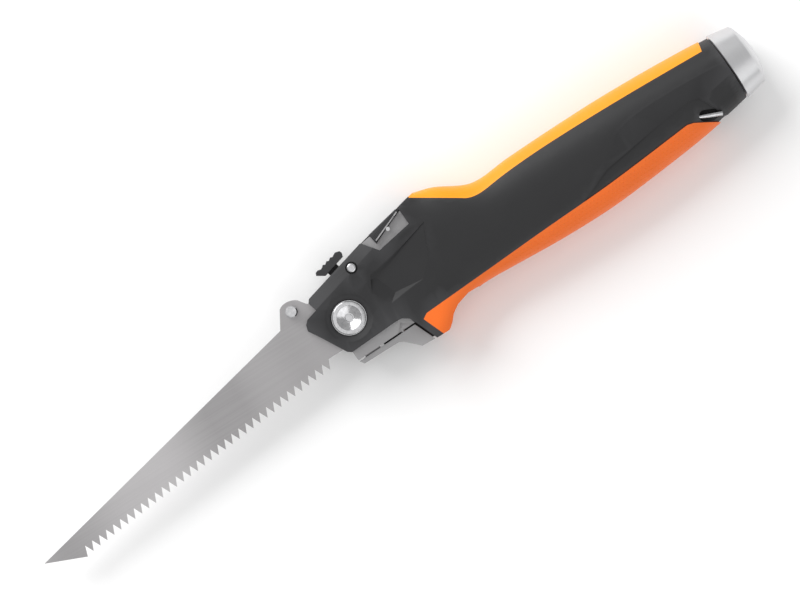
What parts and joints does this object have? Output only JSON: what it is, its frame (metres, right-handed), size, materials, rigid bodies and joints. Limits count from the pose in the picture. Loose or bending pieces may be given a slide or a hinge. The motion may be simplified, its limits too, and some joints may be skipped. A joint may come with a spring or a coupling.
{
  "type": "folding drywall saw",
  "caption": "Folding drywall jab saw with a toothed blade on a pivot, a sliding utility knife in its head, soft grips and a steel end cap.",
  "frame": {"origin": "centre of the tool's bounding box on the surface it lies on", "axes": "+X from the saw's tip to the end cap, +Y to the spine of the handle, +Z along the saw's pivot axis, up from the side it lies on"},
  "size_m": [0.3846, 0.0609, 0.0334],
  "materials": {
    "blade_steel": "ground",
    "polished_steel": "polished",
    "bearing_bronze": "turned",
    "frame_steel": "satin",
    "black_nylon": "moulded",
    "orange_grip": "textured",
    "amber_grip": "smooth",
    "cap_alloy": "satin"
  },
  "bodies": {
    "handle": {"pivot_bolt": "polished_steel", "pivot_washer": "polished_steel", "pivot_bushing": "bearing_bronze", "spine_spacer": "frame_steel", "near_frame": "frame_steel", "far_frame": "frame_steel", "head_pin": "polished_steel", "lock_leaf": "blade_steel", "release_pin": "polished_steel", "release_spring": "blade_steel", "lever_pin": "polished_steel", "near_shell": "black_nylon", "far_shell": "black_nylon", "shell_screws": "polished_steel", "near_grip": "orange_grip", "far_grip": "orange_grip", "spine_grip": "amber_grip", "end_cap": "cap_alloy", "cap_pin": "polished_steel", "lanyard_bar": "polished_steel"},
    "saw": {"saw_blade": "blade_steel", "thumb_stud": "polished_steel"},
    "release": {"release_lever": "frame_steel"},
    "knife": {"utility_blade": "blade_steel", "knife_carrier": "frame_steel", "thumb_slider": "black_nylon"},
    "changer": {"change_lever": "black_nylon"}
  },
  "joints": [
    {"name": "saw_fold", "type": "hinge", "parent": "handle", "child": "saw", "pos_m": [-0.02085, -0.00215, 0.0167], "axis": [0, 0, 1], "range_deg": [0, 172], "deforming": ["lock_leaf"]},
    {"name": "lock_release", "type": "hinge", "parent": "handle", "child": "release", "pos_m": [-0.02085, -0.01805, 0.0118], "axis": [0, 0, 1], "range_deg": [0, 1.2], "stiffness_Nm_per_rad": 0.6, "springref_deg": -1.15, "deforming": ["release_spring"]},
    {"name": "knife_slide", "type": "slide", "parent": "handle", "child": "knife", "axis": [-0.9631, -0.269, 0], "range_m": [0, 0.012]},
    {"name": "blade_change", "type": "hinge", "parent": "handle", "child": "changer", "pos_m": [0.01415, 0.02205, 0.0236], "axis": [0, 0, 1], "range_deg": [0, 3], "stiffness_Nm_per_rad": 0.05, "springref_deg": -2.86}
  ]
}
